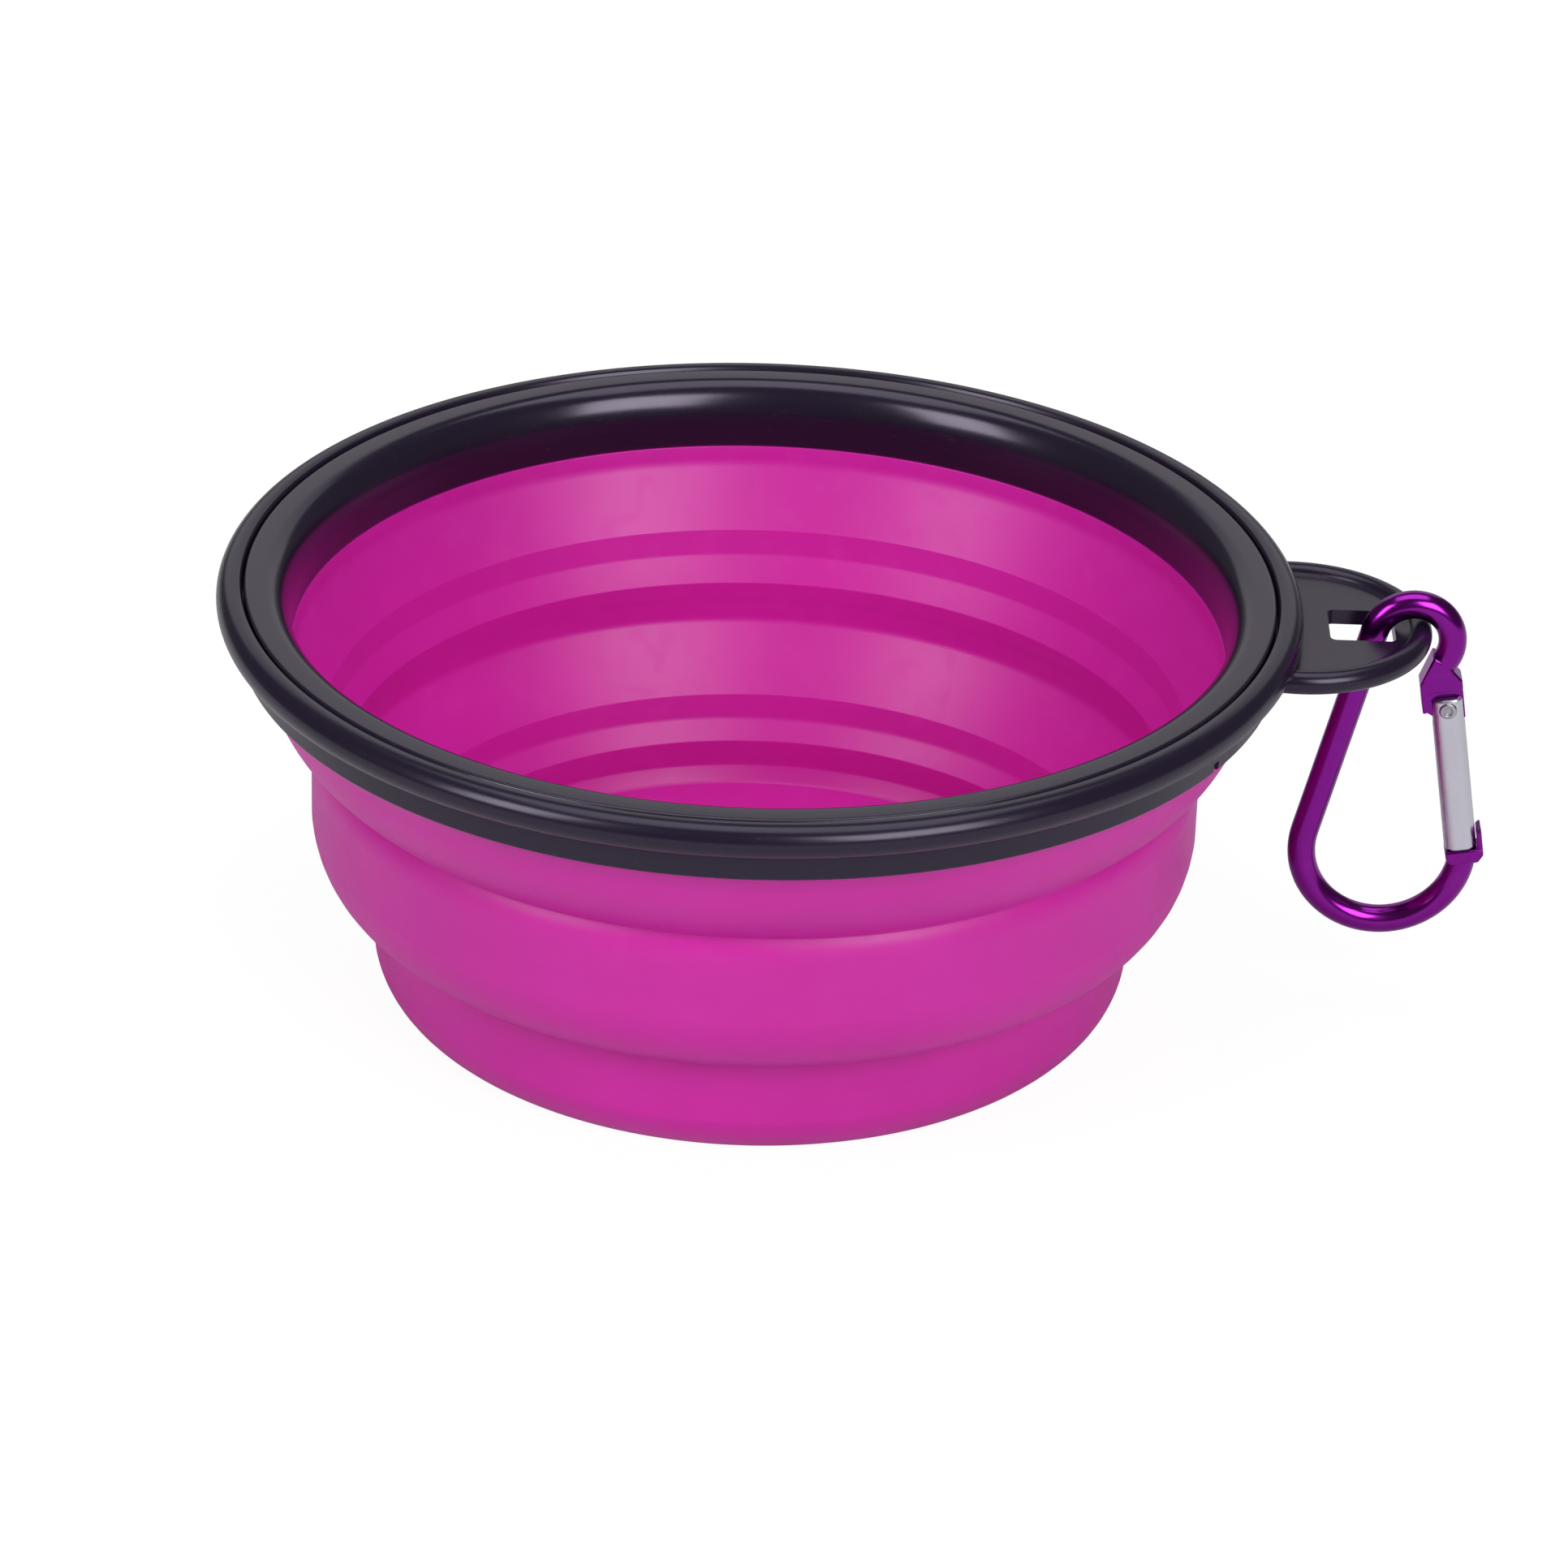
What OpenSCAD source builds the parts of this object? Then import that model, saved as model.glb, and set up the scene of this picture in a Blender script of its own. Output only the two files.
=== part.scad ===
// Collapsible travel pet bowl: a silicone bowl that folds flat in three tiers, held in a
// two-piece plastic rim with a hanging tab, and a snap hook that hangs from the tab.
// Millimetres. Origin on the bowl's axis at the underside of its base, +Z up, +X to the tab.

/* [Bowl heights, from the table up] */
// height of the base cup, from the table to the lower crease
base_tier_height = 13.6; // [13:0.1:14.4]
// height of the lower fold, which turns inside out when the bowl is pressed flat
lower_fold_height = 9.3; // [8.6:0.1:10]
// height of the steep middle tier
middle_tier_height = 11; // [10.3:0.1:12.5]
// height of the upper fold, which turns inside out as well
upper_fold_height = 9.9; // [9.2:0.1:10.8]
// height of the rim, from the top of the upper fold to the crest of the bead
rim_height = 10.2; // [9.8:0.1:11]
// thickness of the bowl's floor
floor_thickness = 4.1; // [3.5:0.1:5]

/* [Bowl radii] */
// outer radius of the middle tier at its fullest
tier_radius = 53.75; // [53.4:0.05:54.1]
// outer radius of the base cup's upright wall
base_radius = 46.1; // [45.7:0.1:46.5]
// how far the flat underside's edge is set in from the base cup's wall
foot_inset = 4.3; // [3.6:0.1:5]
// how far the silicone under the rim is set in from the skirt
fold_top_step = 2.9; // [2.4:0.1:3.4]
// how far the upper crease is set in from the middle tier
upper_crease_step = 0.95; // [0.7:0.05:1.2]
// how far the lower crease stands out from the base cup's wall
lower_crease_step = 0.1; // [0.05:0.05:0.4]
// wall thickness at the upper crease, the first living hinge
upper_crease_wall = 1.1; // [0.9:0.05:1.2]
// wall thickness at the lower crease, the second living hinge
lower_crease_wall = 0.95; // [0.8:0.05:1.1]
// how far the steep lip above each crease flares out, inside
lip_flare = 0.25; // [0.15:0.05:0.35]
// how far the silicone's inside stands in from the inner rim ring at the top of the upper fold
throat_step = 0.15; // [0.1:0.05:0.4]
// wall thickness of the middle tier at its top
tier_wall_top = 3.65; // [3.4:0.05:3.9]
// wall thickness of the middle tier at its foot
tier_wall_foot = 4.15; // [4:0.05:4.3]
// wall thickness of the base cup at its top
base_wall_top = 2.7; // [2.4:0.1:2.9]
// wall thickness of the base cup at its floor
base_wall_foot = 3.1; // [3:0.1:3.4]

/* [Bowl curves] */
// how far the upper fold swells out from a straight cone
upper_fold_swell = 1.2; // [0.6:0.1:1.4]
// how far the lower fold swells out from a straight cone
lower_fold_swell = 2; // [1.4:0.1:2.3]
// how far the rounded corner of the base swells out from a chamfer
base_corner_swell = 0.9; // [0.3:0.1:1.3]
// height of the rounded corner of the base
base_corner_height = 5.4; // [4.5:0.1:6.5]
// height over which the middle tier swells out below the upper crease
tier_shoulder_height = 3.7; // [3:0.1:4.5]
// how far the middle tier's shoulder swells out from a straight cone
tier_shoulder_swell = 0.35; // [0.2:0.05:0.5]
// height over which the wall turns outward below the lower crease
base_shoulder_height = 2; // [1.5:0.1:2.5]
// fillet between the inside wall and the floor
floor_fillet = 0.6; // [0.3:0.1:1]
// height of the steep lip above each crease, inside
lip_rise = 1.8; // [1.4:0.1:2.2]
// how far the steep lip runs on below each crease, inside
lip_toe = 1.4; // [1:0.1:1.7]
// height of the sloping band below the upper crease, inside
upper_band_drop = 4.8; // [4.3:0.1:5.3]
// height of the sloping band below the lower crease, inside
lower_band_drop = 3.8; // [3.4:0.1:4.2]

/* [Rim] */
// largest radius of the rim, over its bead
rim_radius = 65; // [64.8:0.1:66]
// radius of the rounded bead along the rim's top edge
bead_radius = 2.1; // [2:0.05:2.3]
// how far the skirt is set back under the bead
skirt_setback = 2.6; // [2.5:0.1:2.8]
// wall thickness of the skirt
skirt_wall = 1.35; // [1.2:0.05:1.5]
// depth of the skirt below the bead's crest
skirt_depth = 7.5; // [7.2:0.1:8]
// width of the bead's top, from its edge to the parting line between the two rim rings
edge_width = 3.2; // [3.1:0.05:3.3]
// thickness of the inner ring's top plate
plate_thickness = 2.4; // [2.2:0.1:2.8]
// width of the inner ring, parting line to inside wall
ring_width = 5.8; // [5.5:0.1:6]
// thickness of the inner ring's wall at its foot
ring_wall = 0.9; // [0.8:0.1:1]
// width of the ledge by which the inner ring's top plate overhangs its wall
ring_ledge = 2.8; // [2.6:0.1:3]
// large rounding from the inner ring's top into its inside wall
ring_fillet = 3.3; // [2.8:0.1:3.6]
// depth of the inner ring below the bead's crest
ring_depth = 7.9; // [7.6:0.1:8.2]
// how far the inner ring's top lies below the bead's crest
ring_sink = 0.2; // [0.1:0.05:0.4]
// how far the inner ring's snap ridge stands out
ridge_height = 0.3; // [0.2:0.05:0.4]
// clear gap between parts that are snapped together
snap_gap = 0.06; // [0.04:0.01:0.1]
// bearing of the mould notch in the skirt, turned from the tab toward the front
notch_bearing = 31; // [20:1:40]
// width of the mould notch
notch_width = 1.1; // [0.8:0.1:1.5]
// height of the mould notch
notch_height = 1.2; // [0.8:0.1:1.5]

/* [Hanging tab] */
// how far the centre of the tab's round edge is set in from the rim's edge
tab_inset = 0.7; // [0.2:0.1:1]
// radius of the centreline of the tab's rounded edge
tab_radius = 14.85; // [14.5:0.05:15.5]
// radius of the tab's rounded edge
tab_bead_radius = 1.45; // [1.35:0.05:1.5]
// depth of the tab's rounded edge below the rim's crest
tab_drop = 4.15; // [4:0.05:4.3]
// thickness of the tab's floor
tab_floor = 1.9; // [1.7:0.1:2]
// distance from the tab's centre to the near side of the slot
slot_start = 3.9; // [3.2:0.1:4.4]
// width of the land between the slot and the tab's rounded edge
slot_land = 1.65; // [1.55:0.05:1.7]
// width of the slot
slot_width = 8.2; // [7:0.1:10]
// radius in the slot's corners
slot_corner = 0.8; // [0.5:0.1:1.2]

/* [Snap hook] */
// thickness of the snap hook's round bar
bar_thickness = 3.4; // [3.3:0.05:3.5]
// how far the centre of the hook's top bend lies inside the tab's rounded edge
hook_inset = 0.75; // [0.6:0.05:0.9]
// how far the centre of the top bend lies below the tab's rounded edge
hook_sag = 1.3; // [1.15:0.05:1.4]
// least play between the top bend and the tab
hook_play = 0.13; // [0.1:0.01:0.2]
// how far the lower bend's centre lies inward of the top bend's centre
lower_bend_inset = 1.7; // [1.4:0.1:2]
// how far the lower bend's centre lies below the top bend's centre
lower_bend_drop = 28.3; // [28:0.1:28.6]
// radius of the lower bend along the bar's centreline
lower_bend = 9.8; // [9.6:0.05:10]
// where the top bend ends, in degrees below level on the outer side
hook_end_angle = 36; // [30:1:40]
// where the lower bend ends, in degrees below level on the outer side
nose_end_angle = 5; // [3:1:7]

/* [Snap hook gate] */
// distance from the top bend's centre down to the rivet
rivet_drop = 8.5; // [8.4:0.05:8.6]
// width of the gate, seen from the side of the hook
gate_width = 3.9; // [3.7:0.05:4]
// thickness of the gate
gate_thickness = 3.5; // [3.4:0.05:3.6]
// length of the gate above its rivet
gate_head = 1.4; // [1.3:0.05:1.5]
// radius of the gate's long edges
gate_corner = 1.2; // [0.8:0.1:1.5]
// thickness of the hook's tongue between the gate's cheeks
tongue_thickness = 1.4; // [1.2:0.05:1.5]
// radius of the tongue's round foot, centred on the rivet
tongue_reach = 2; // [1.9:0.05:2.1]
// how far the tongue stands out past the rivet on the inner side
tongue_inner = 3.05; // [2.9:0.05:3.1]
// how far the tongue stands out past the rivet on the outer side
tongue_outer = 2.05; // [2:0.05:2.2]
// how far the tongue reaches below the rivet's axis on the outer side
outer_reach = 1.6; // [1.4:0.05:1.8]
// how far the leg beside the gate's head reaches below the rivet's axis on the inner side
leg_reach = 0.1; // [0:0.05:0.2]
// bevel at the foot of that leg, which clears the opened gate
leg_bevel = 0.6; // [0.55:0.05:0.7]
// how far the gate opens, in degrees
gate_swing = 30; // [25:1:32]
// clear gap on each side of the tongue
tongue_gap = 0.1; // [0.08:0.01:0.15]
// height of the shoulder above the rivet that the gate's head clears
shoulder_rise = 2.45; // [2.4:0.05:2.6]
// height of the shoulder block
shoulder_height = 1.3; // [1.2:0.1:1.4]
// thickness of the shoulder and of the nose
block_thickness = 3.3; // [3.2:0.05:3.4]
// thickness of the nose below the gate
nose_height = 1.8; // [1.6:0.1:2]
// how far the nose runs past the end of the lower bend
nose_lap = 0.25; // [0.2:0.05:0.4]
// clear gap between the gate and the nose
nose_gap = 0.12; // [0.1:0.01:0.2]
// thickness of the lip that the closed gate rests inside
lip_thickness = 0.6; // [0.5:0.05:0.7]
// height of the lip
lip_height = 2.6; // [2.2:0.1:3]
// radius of the rivet's shank
rivet_radius = 0.75; // [0.7:0.05:0.8]
// radius of the rivet's heads
rivet_head_radius = 1.1; // [1:0.05:1.2]
// height of the rivet's heads
rivet_head_height = 0.25; // [0.2:0.05:0.3]
// running clearance round the rivet and the plunger
running_gap = 0.05; // [0.03:0.01:0.08]
// radius of the spring plunger
plunger_radius = 1; // [0.95:0.01:1.02]
// length of the spring plunger
plunger_length = 4; // [3.6:0.1:4.4]
// thickness of the spring's wire
spring_wire = 0.3; // [0.25:0.01:0.32]
// radius of the spring along its wire
spring_radius = 0.75; // [0.7:0.01:0.8]
// number of turns of the spring
spring_turns = 8; // [6:1:10]
// length of the spring when the gate is shut
spring_length = 5.6; // [5.2:0.1:6.4]

/* [Hidden] */
$fn = 96;
// how far a cut runs past what it cuts
overrun = 1;
bow_steps = 8;
bar_facets = 56;
// the straight bar runs this far into both bends, a hair thicker than they are
bar_lap = 0.3;
bar_swell = 0.02;
lower_crease_z = base_tier_height;
tier_foot_z = lower_crease_z + lower_fold_height;
upper_crease_z = tier_foot_z + middle_tier_height;
fold_top_z = upper_crease_z + upper_fold_height;
crest_z = fold_top_z + rim_height;
bead_z = crest_z - bead_radius;
bead_ring_radius = rim_radius - bead_radius;
skirt_radius = rim_radius - skirt_setback;
skirt_inner = skirt_radius - skirt_wall;
parting_radius = rim_radius - edge_width;
skirt_foot_z = crest_z - skirt_depth;
ring_top_z = crest_z - ring_sink;
ring_foot_z = crest_z - ring_depth;
plate_foot_z = ring_top_z - plate_thickness;
mouth_radius = parting_radius - ring_width;
sleeve_inner = parting_radius - ring_ledge;
sleeve_outer = skirt_inner - snap_gap;
sleeve_top_z = plate_foot_z - snap_gap;
ridge_z = ring_top_z - plate_thickness / 2;
fold_top_radius = skirt_radius - fold_top_step;
upper_crease_radius = tier_radius - upper_crease_step;
upper_crease_inner = upper_crease_radius - upper_crease_wall;
tier_inner_top = tier_radius - tier_wall_top;
tier_inner_foot = tier_radius - tier_wall_foot;
lower_crease_radius = base_radius + lower_crease_step;
lower_crease_inner = lower_crease_radius - lower_crease_wall;
upper_lip_inner = upper_crease_inner + lip_flare;
lower_lip_inner = lower_crease_inner + lip_flare;
fold_top_inner = mouth_radius - throat_step;
base_inner_top = base_radius - base_wall_top;
base_inner_foot = base_radius - base_wall_foot;
foot_radius = base_radius - foot_inset;
tier_steep_z = upper_crease_z - upper_band_drop;
// how far the steep lip has come in at its toe
toe_step = lip_flare * lip_toe / lip_rise;
tab_z = crest_z - tab_drop;
tab_centre = rim_radius - tab_inset;
slot_near = tab_centre + slot_start;
slot_far = tab_centre + tab_radius - tab_bead_radius - slot_land;
tab_floor_z = tab_z - tab_bead_radius;
hook_centre = tab_centre + tab_radius - hook_inset;
hook_z = tab_z - hook_sag;
bar_radius = bar_thickness / 2;
// centreline radius of the top bend, so that it just clears the tab's edge all round
hook_bend = norm([hook_inset, hook_sag]) + tab_bead_radius + hook_play + bar_radius;
lower_x = hook_centre - lower_bend_inset;
lower_z = hook_z - lower_bend_drop;
centre_gap = norm([lower_bend_inset, lower_bend_drop]);
// lean of the straight bar that touches both bends
spine_lean = asin((lower_bend - hook_bend) / centre_gap)
    + atan2(lower_bend_inset, lower_bend_drop);
spine_length = sqrt(centre_gap * centre_gap - pow(lower_bend - hook_bend, 2));
rivet_x = hook_centre + hook_bend;
rivet_z = hook_z - rivet_drop;
nose_run = [lower_x + lower_bend * cos(nose_end_angle) - rivet_x,
            lower_z - lower_bend * sin(nose_end_angle) - rivet_z];
gate_lean = atan2(nose_run[0], -nose_run[1]);
gate_reach = norm(nose_run) + nose_lap - nose_height - nose_gap;
// the cheeks' slot clears the tongue's round foot
cheek_slot_reach = tongue_reach + 2 * tongue_gap;
// the tongue's foot is round over the angle that the plunger's dome sweeps past
dome_spread = asin((plunger_radius + running_gap) / (tongue_reach + running_gap + plunger_radius));
bevel_bearing = gate_swing + dome_spread;
leg_face = gate_width / 2 + tongue_gap;
block_root = shoulder_rise + shoulder_height / 2;
plunger_top = -tongue_reach - running_gap;
spring_top = plunger_top - plunger_length - running_gap;
bore_foot = spring_top - spring_length - 2 * running_gap;

// a point on the top bend's end face, in the gate's own frame; out is measured from its centre
function bend_end(out) =
    let (x = (hook_bend + out) * cos(hook_end_angle) - hook_bend,
         z = rivet_drop - (hook_bend + out) * sin(hook_end_angle))
    [x * cos(gate_lean) + z * sin(gate_lean), z * cos(gate_lean) - x * sin(gate_lean)];

// points from a to b on a shallow curve that swells by s to the outer side
function bow(a, b, s) =
    [for (i = [0:bow_steps])
        let (t = i / bow_steps, d = b - a, n = [-d[1], d[0]] / norm(d))
        a + d * t + n * s * 4 * t * (1 - t)];

module turned(points) {
    rotate_extrude() polygon(points);
}

// a flat shape in the X-Z plane, given its thickness along Y
module upright(thickness) {
    rotate([90, 0, 0]) linear_extrude(height = thickness, center = true) children();
}

module rounded_plate(x0, x1, y0, y1, corner) {
    translate([x0 + corner, y0]) square([x1 - x0 - 2 * corner, y1 - y0]);
    translate([x0, y0 + corner]) square([x1 - x0, y1 - y0 - 2 * corner]);
    for (x = [x0 + corner, x1 - corner])
        for (y = [y0 + corner, y1 - corner])
            translate([x, y]) circle(r = corner);
}

// the gate's own frame: rivet at the origin, gate straight down
module at_rivet() {
    translate([rivet_x, 0, rivet_z]) rotate([0, -gate_lean, 0]) children();
}

// outer ring: rounded bead, skirt, and the hanging tab with its slot
module rim_outer_ring() {
    color([0.16, 0.16, 0.19])
    difference() {
        union() {
            rotate_extrude() difference() {
                union() {
                    translate([bead_ring_radius, bead_z]) circle(r = bead_radius);
                    translate([skirt_inner, skirt_foot_z])
                        square([skirt_wall, bead_z - skirt_foot_z]);
                }
                translate([skirt_inner - bead_radius, bead_z - 2 * bead_radius])
                    square([bead_radius, 4 * bead_radius]);
                translate([skirt_inner - bead_radius, plate_foot_z - snap_gap])
                    square([parting_radius + snap_gap - skirt_inner + bead_radius,
                            plate_thickness + ring_sink + overrun]);
                translate([parting_radius, ridge_z]) circle(r = ridge_height + 2 * snap_gap);
            }
            difference() {
                union() {
                    translate([tab_centre, 0, tab_z]) rotate_extrude()
                        translate([tab_radius, 0]) circle(r = tab_bead_radius);
                    translate([tab_centre, 0, tab_floor_z])
                        cylinder(r = tab_radius, h = tab_floor);
                }
                cylinder(r = skirt_radius - skirt_wall / 2, h = 2 * crest_z);
                translate([0, 0, tab_floor_z - overrun])
                    linear_extrude(height = tab_floor + 2 * overrun)
                    rounded_plate(slot_near, slot_far, -slot_width / 2, slot_width / 2,
                                  slot_corner);
            }
        }
        rotate([0, 0, -notch_bearing])
            translate([skirt_inner - overrun, -notch_width / 2, skirt_foot_z - overrun])
            cube([skirt_wall + 2 * overrun, notch_width, notch_height + overrun]);
    }
}

// inner ring: top land rounded into the inside wall, and the ridge that snaps into the outer ring
module rim_inner_ring() {
    color([0.2, 0.2, 0.23])
    rotate_extrude() union() {
        polygon([[parting_radius - snap_gap, plate_foot_z],
                 [parting_radius - snap_gap, ring_top_z - ring_sink],
                 [parting_radius - snap_gap - ring_sink, ring_top_z],
                 for (i = [0:bow_steps])
                     [mouth_radius + ring_fillet * (1 - sin(90 * i / bow_steps)),
                      ring_top_z - ring_fillet * (1 - cos(90 * i / bow_steps))],
                 [mouth_radius, ring_foot_z],
                 [mouth_radius + ring_wall, ring_foot_z],
                 [sleeve_inner - snap_gap, ring_foot_z + plate_thickness],
                 [sleeve_inner - snap_gap, plate_foot_z]]);
        translate([parting_radius - snap_gap, ridge_z]) circle(r = ridge_height);
    }
}

// top of the silicone bowl: the flange gripped between the two rim rings
module bowl_flange() {
    color([0.84, 0.2, 0.6])
    turned([[fold_top_inner, fold_top_z],
            [mouth_radius, ring_foot_z - snap_gap],
            [mouth_radius + ring_wall, ring_foot_z - snap_gap],
            [sleeve_inner, ring_foot_z + plate_thickness],
            [sleeve_inner, sleeve_top_z],
            [sleeve_outer, sleeve_top_z],
            [sleeve_outer, skirt_foot_z],
            [fold_top_radius, fold_top_z]]);
}

// upper fold: turns inside out when the rim is pressed down
module upper_fold() {
    color([0.88, 0.27, 0.66])
    turned(concat(bow([fold_top_radius, fold_top_z],
                      [upper_crease_radius, upper_crease_z], upper_fold_swell),
                  [[upper_crease_inner, upper_crease_z],
                   [upper_lip_inner, upper_crease_z + lip_rise],
                   [fold_top_inner, fold_top_z]]));
}

// middle tier: the steep band that keeps its shape
module middle_tier() {
    color([0.8, 0.18, 0.56])
    turned(concat(bow([upper_crease_radius, upper_crease_z],
                      [tier_radius, upper_crease_z - tier_shoulder_height],
                      tier_shoulder_swell),
                  [[tier_radius, tier_foot_z],
                   [tier_inner_foot, tier_foot_z],
                   [tier_inner_top, tier_steep_z],
                   [upper_crease_inner - toe_step, upper_crease_z - lip_toe],
                   [upper_crease_inner, upper_crease_z]]));
}

// lower fold: turns inside out when the middle tier is pressed down
module lower_fold() {
    color([0.88, 0.27, 0.66])
    turned(concat(bow([tier_radius, tier_foot_z],
                      [lower_crease_radius, lower_crease_z], lower_fold_swell),
                  [[lower_crease_inner, lower_crease_z],
                   [lower_lip_inner, lower_crease_z + lip_rise],
                   [tier_inner_foot, tier_foot_z]]));
}

// base cup: lowest tier with its rounded corner, floor and flat underside
module base_cup() {
    color([0.78, 0.17, 0.54])
    turned(concat([[0, 0]],
                  [for (i = [0:bow_steps])
                      bow([foot_radius, 0], [base_radius, base_corner_height],
                          -base_corner_swell)[i]],
                  [[base_radius, lower_crease_z - base_shoulder_height],
                   [lower_crease_radius, lower_crease_z],
                   [lower_crease_inner, lower_crease_z],
                   [lower_crease_inner - toe_step, lower_crease_z - lip_toe],
                   [base_inner_top, lower_crease_z - lower_band_drop],
                   [base_inner_foot, floor_thickness + floor_fillet],
                   [base_inner_foot - floor_fillet, floor_thickness],
                   [0, floor_thickness]]));
}

// snap hook body: top bend, straight bar, lower bend, shoulder with leg and tongue, and nose
module carabiner_body() {
    color([0.49, 0.12, 0.55])
    difference() {
        union() {
            translate([hook_centre, 0, hook_z]) rotate([90, 0, 0])
                rotate([0, 0, -hook_end_angle])
                rotate_extrude(angle = 180 - spine_lean + hook_end_angle, $fn = bar_facets)
                translate([hook_bend, 0]) circle(r = bar_radius, $fn = bar_facets / 2);
            translate([lower_x, 0, lower_z]) rotate([90, 0, 0])
                rotate([0, 0, 180 - spine_lean])
                rotate_extrude(angle = 180 + spine_lean - nose_end_angle, $fn = bar_facets)
                translate([lower_bend, 0]) circle(r = bar_radius, $fn = bar_facets / 2);
            translate([hook_centre, 0, hook_z]) rotate([90, 0, 0])
                rotate([0, 0, 180 - spine_lean])
                translate([hook_bend, -bar_lap, 0]) rotate([-90, 0, 0])
                cylinder(r = bar_radius + bar_swell, h = spine_length + 2 * bar_lap,
                         $fn = bar_facets / 2);
            at_rivet() upright(block_thickness)
                polygon([[-tongue_inner, shoulder_rise],
                         [tongue_outer, shoulder_rise],
                         [tongue_outer, shoulder_rise + shoulder_height],
                         bend_end(bar_radius - bar_lap) + [0, bar_lap],
                         bend_end(bar_lap - bar_radius) + [0, bar_lap],
                         [-tongue_inner, shoulder_rise + shoulder_height]]);
            at_rivet() upright(block_thickness)
                polygon([[-tongue_inner, -leg_reach],
                         [-leg_face - leg_bevel, -leg_reach],
                         [-leg_face, leg_bevel - leg_reach],
                         [-leg_face, block_root],
                         [-tongue_inner, block_root]]);
            at_rivet() upright(tongue_thickness) {
                circle(r = tongue_reach);
                polygon([[-tongue_inner, -leg_reach],
                         [-tongue_reach * sin(bevel_bearing), -tongue_reach * cos(bevel_bearing)],
                         [tongue_reach * sin(dome_spread), -tongue_reach * cos(dome_spread)],
                         [tongue_outer, -outer_reach],
                         [tongue_outer, block_root],
                         [-tongue_inner, block_root]]);
            }
            at_rivet() upright(block_thickness)
                polygon([[-gate_width / 2, -gate_reach - nose_gap],
                         [gate_width / 2 + nose_gap + lip_thickness, -gate_reach - nose_gap],
                         [gate_width / 2 + nose_gap + lip_thickness,
                          -gate_reach - nose_gap - nose_height / 2],
                         [gate_width / 2, -gate_reach - nose_gap - nose_height],
                         [-gate_width / 2, -gate_reach - nose_gap - nose_height]]);
            at_rivet() upright(block_thickness)
                translate([gate_width / 2 + nose_gap, -gate_reach - nose_gap - nose_height / 2])
                square([lip_thickness, lip_height + nose_height / 2]);
        }
        at_rivet() rotate([90, 0, 0])
            cylinder(r = rivet_radius + running_gap, h = 2 * block_thickness, center = true);
    }
}

// snap hook gate: round-edged bar with two cheeks over the tongue and a bore for its spring
module carabiner_gate() {
    color([0.78, 0.77, 0.82])
    at_rivet() difference() {
        translate([0, 0, -gate_reach])
            linear_extrude(height = gate_reach + gate_head)
            rounded_plate(-gate_width / 2, gate_width / 2,
                          -gate_thickness / 2, gate_thickness / 2, gate_corner);
        translate([-gate_width, -tongue_thickness / 2 - tongue_gap, -cheek_slot_reach])
            cube([2 * gate_width, tongue_thickness + 2 * tongue_gap,
                  cheek_slot_reach + gate_head + overrun]);
        translate([0, 0, bore_foot])
            cylinder(r = plunger_radius + running_gap, h = -bore_foot - tongue_reach / 2);
        rotate([90, 0, 0])
            cylinder(r = rivet_radius, h = 2 * gate_thickness, center = true);
    }
}

// rivet through the gate's cheeks and the tongue
module gate_rivet() {
    color([0.62, 0.62, 0.66])
    at_rivet() rotate([90, 0, 0]) {
        cylinder(r = rivet_radius, h = gate_thickness + rivet_head_height, center = true);
        for (side = [-1, 1])
            translate([0, 0, side * (gate_thickness + rivet_head_height) / 2])
                cylinder(r = rivet_head_radius, h = rivet_head_height, center = true);
    }
}

// domed plunger that the spring holds up to the tongue's foot
module gate_plunger() {
    color([0.7, 0.7, 0.72])
    at_rivet() {
        translate([0, 0, plunger_top - plunger_radius]) sphere(r = plunger_radius);
        translate([0, 0, plunger_top - plunger_length])
            cylinder(r = plunger_radius, h = plunger_length - plunger_radius);
    }
}

// coil spring behind the plunger, one unbroken tube
spring_sides = 6;
spring_steps = 14;
spring_rings = spring_turns * spring_steps;
spring_rise = spring_length - spring_wire;
function coil_point(i, k) =
    let (a = 360 * i / spring_steps, b = 360 * k / spring_sides,
         out = spring_radius + spring_wire / 2 * cos(b))
    [out * cos(a), out * sin(a),
     -spring_rise + spring_rise * i / spring_rings + spring_wire / 2 * sin(b)];

module gate_spring() {
    color([0.66, 0.66, 0.68])
    at_rivet() translate([0, 0, spring_top - spring_wire / 2])
        polyhedron(
            points = [for (i = [0:spring_rings]) for (k = [0:spring_sides - 1])
                          coil_point(i, k)],
            faces = concat(
                [[for (k = [0:spring_sides - 1]) k]],
                [for (i = [0:spring_rings - 1]) for (k = [0:spring_sides - 1])
                    let (n = (k + 1) % spring_sides)
                    [i * spring_sides + k, (i + 1) * spring_sides + k,
                     (i + 1) * spring_sides + n, i * spring_sides + n]],
                [[for (k = [0:spring_sides - 1])
                    spring_rings * spring_sides + spring_sides - 1 - k]]));
}

rim_outer_ring();
rim_inner_ring();
bowl_flange();
upper_fold();
middle_tier();
lower_fold();
base_cup();
carabiner_body();
carabiner_gate();
gate_rivet();
gate_plunger();
gate_spring();
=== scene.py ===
import bpy
from math import acos, asin, atan2, cos, degrees, hypot, pi, radians, sin, tan
from mathutils import Matrix, Vector


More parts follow.
